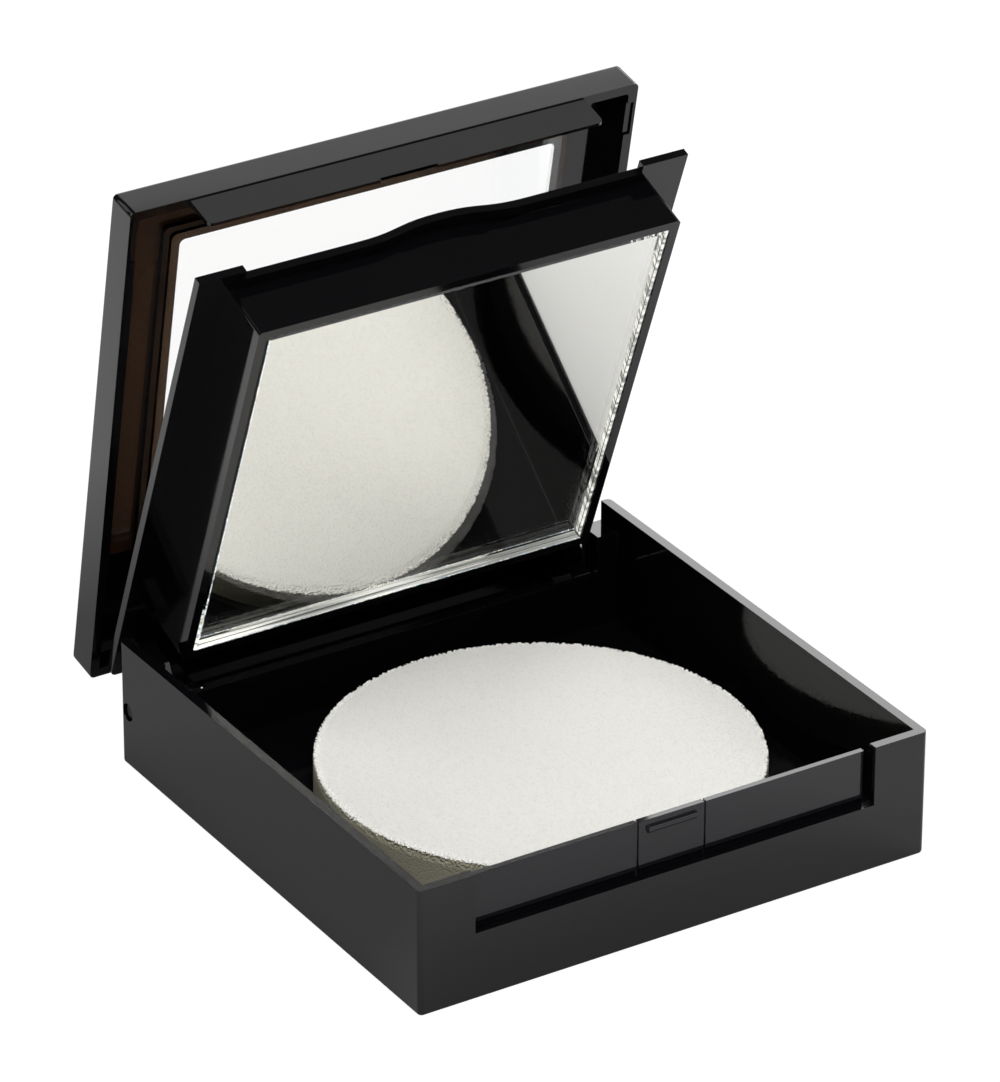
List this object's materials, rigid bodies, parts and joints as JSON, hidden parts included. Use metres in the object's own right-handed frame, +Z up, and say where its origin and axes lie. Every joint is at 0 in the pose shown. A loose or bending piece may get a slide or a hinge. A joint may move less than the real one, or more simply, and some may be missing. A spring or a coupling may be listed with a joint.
{
  "type": "powder compact",
  "caption": "Square hinged cosmetic compact: base tray with a round sponge, a swing tray with pressed powder above and a mirror below, and a windowed snap lid.",
  "frame": {"origin": "centre of the base's flat underside, the face it rests on", "axes": "+Z up; -Y is the front, with the latch; +Y is the hinge side; +X is the right, seen from the front. The lid and the tray stand open at rest"},
  "size_m": [0.073, 0.0846, 0.0794],
  "materials": {
    "black_plastic": "high gloss injection-moulded black",
    "clear_plastic": "polished clear",
    "mirror": "silvered glass with ground edges",
    "foam": "fine open-pore latex foam, off-white",
    "powder": "matt pressed powder",
    "pan_metal": "satin pressed sheet",
    "adhesive": "double-sided foam tape",
    "pin_steel": "drawn wire"
  },
  "bodies": {
    "base": {"base_shell": "black_plastic", "latch_panel": "black_plastic", "hinge_pin_right": "pin_steel", "hinge_pin_left": "pin_steel", "sponge": "foam"},
    "tray": {"tray_shell": "black_plastic", "mirror_glass": "mirror", "mirror_pad": "adhesive", "pan_pad": "adhesive", "powder_pan": "pan_metal", "powder_cake": "powder"},
    "lid": {"lid_frame": "black_plastic", "lid_window": "clear_plastic"}
  },
  "joints": [
    {"name": "tray_hinge", "type": "hinge", "parent": "base", "child": "tray", "pos_m": [0, 0.03425, 0.0078], "axis": [-1, 0, 0], "range_deg": [-69.3, 2.7]},
    {"name": "lid_hinge", "type": "hinge", "parent": "tray", "child": "lid", "pos_m": [0, 0.03425, 0.0078], "axis": [-1, 0, 0], "range_deg": [-9.7, 69.3]}
  ]
}
